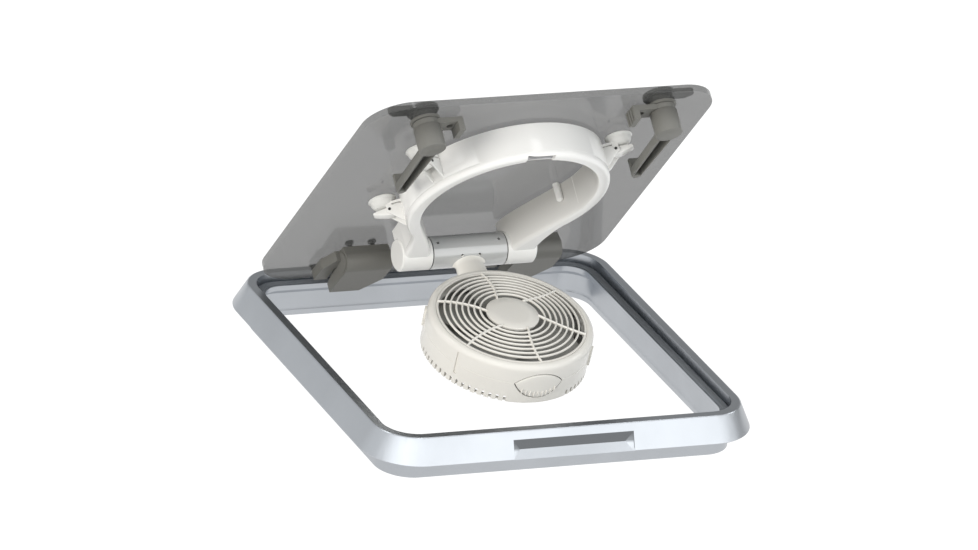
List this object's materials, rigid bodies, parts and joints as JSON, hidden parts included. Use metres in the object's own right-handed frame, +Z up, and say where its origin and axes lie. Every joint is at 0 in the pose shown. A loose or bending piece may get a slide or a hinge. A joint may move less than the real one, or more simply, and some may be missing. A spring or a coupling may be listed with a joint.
{
  "type": "hatch fan",
  "caption": "Square hatch with a tilting tinted lid, a folding round fan on a white loop arm with suction feet, and two turning latches.",
  "frame": {"origin": "centre of the frame's lower edge, on the plane of the spigot's foot", "axes": "+X along the hinge, +Y towards the hinge side, +Z up; the finger recess is on the -Y side"},
  "size_m": [0.478, 0.478, 0.3882],
  "materials": {
    "frame_metal": "satin anodised",
    "seal_rubber": "matt black seal",
    "dark_plastic": "dark grey moulded nylon, satin",
    "steel": "stainless",
    "tinted_pane": "smoked acrylic, polished",
    "white_gloss": "white, glossy",
    "cup_rubber": "pale soft suction cup",
    "washer_rubber": "matt",
    "fan_plastic": "warm white, satin",
    "motor_steel": "plated can",
    "board": "green laminate",
    "impeller_plastic": "dark grey, satin"
  },
  "bodies": {
    "frame": {"base_frame": "frame_metal", "lid_seal": "seal_rubber", "hinge_bracket_left": "dark_plastic", "hinge_bracket_right": "dark_plastic", "hinge_pins": "steel", "bracket_screws": "steel"},
    "lid": {"lid_pane": "tinted_pane", "hinge_arm_left": "dark_plastic", "hinge_arm_right": "dark_plastic", "arm_screws": "dark_plastic", "latch_bushes": "dark_plastic", "bush_nuts": "dark_plastic", "loop_shell": "white_gloss", "loop_cover": "white_gloss", "loop_clip": "white_gloss", "loop_screws": "steel", "suction_cups": "cup_rubber", "foot_pins": "steel", "pivot_cap_left": "white_gloss", "pivot_cap_right": "white_gloss", "power_inlet": "white_gloss", "pivot_spindle": "steel", "friction_washers": "washer_rubber"},
    "latch_left": {"outer_handle_left": "dark_plastic", "inner_lever_left": "dark_plastic", "latch_cam_left": "dark_plastic", "latch_screws_left": "steel"},
    "latch_right": {"outer_handle_right": "dark_plastic", "inner_lever_right": "dark_plastic", "latch_cam_right": "dark_plastic", "latch_screws_right": "steel"},
    "foot_1": {"foot_lever_1": "white_gloss"},
    "foot_2": {"foot_lever_2": "white_gloss"},
    "foot_3": {"foot_lever_3": "white_gloss"},
    "foot_4": {"foot_lever_4": "white_gloss"},
    "fan": {"pivot_tube": "white_gloss", "tube_screws": "steel", "fan_neck": "fan_plastic", "fan_housing": "fan_plastic", "front_grille": "fan_plastic", "grille_badge": "fan_plastic", "rear_guard": "fan_plastic", "motor_can": "motor_steel", "motor_bearings": "steel", "circuit_board": "board", "housing_screws": "steel", "push_switch": "impeller_plastic"},
    "rotor": {"impeller": "impeller_plastic", "motor_shaft": "steel", "impeller_clip": "impeller_plastic"},
    "button": {"speed_button": "fan_plastic"}
  },
  "joints": [
    {"name": "lid_hinge", "type": "hinge", "parent": "frame", "child": "lid", "pos_m": [0, 0.2145, 0.061], "axis": [1, 0, 0], "range_deg": [-28.8, 51.2]},
    {"name": "fan_tilt", "type": "hinge", "parent": "lid", "child": "fan", "pos_m": [0, 0.10099, 0.11999], "axis": [1, 0, 0], "range_deg": [-62, 50]},
    {"name": "impeller_spin", "type": "hinge", "parent": "fan", "child": "rotor", "pos_m": [0, -0.03781, 0.09351], "axis": [0, 0.1874, -0.9823], "continuous": true},
    {"name": "button_press", "type": "slide", "parent": "fan", "child": "button", "axis": [-0.0349, 0.9817, 0.1873], "range_m": [0, 0.001], "stiffness_N_per_m": 400},
    {"name": "latch_left_turn", "type": "hinge", "parent": "lid", "child": "latch_left", "pos_m": [-0.144, -0.0476, 0.35826], "axis": [0, 0.7793, 0.6266], "range_deg": [0, 25]},
    {"name": "latch_right_turn", "type": "hinge", "parent": "lid", "child": "latch_right", "pos_m": [0.147, -0.0476, 0.35826], "axis": [0, -0.7793, -0.6266], "range_deg": [0, 25]},
    {"name": "foot_1_lift", "type": "hinge", "parent": "lid", "child": "foot_1", "pos_m": [0.11761, -0.01224, 0.28715], "axis": [0.454, 0.5583, -0.6944], "range_deg": [0, 40]},
    {"name": "foot_2_lift", "type": "hinge", "parent": "lid", "child": "foot_2", "pos_m": [0.11761, 0.06286, 0.19375], "axis": [-0.454, 0.5583, -0.6944], "range_deg": [0, 40]},
    {"name": "foot_3_lift", "type": "hinge", "parent": "lid", "child": "foot_3", "pos_m": [-0.11761, -0.01224, 0.28715], "axis": [0.454, -0.5583, 0.6944], "range_deg": [0, 40]},
    {"name": "foot_4_lift", "type": "hinge", "parent": "lid", "child": "foot_4", "pos_m": [-0.11761, 0.06286, 0.19375], "axis": [-0.454, -0.5583, 0.6944], "range_deg": [0, 40]}
  ]
}
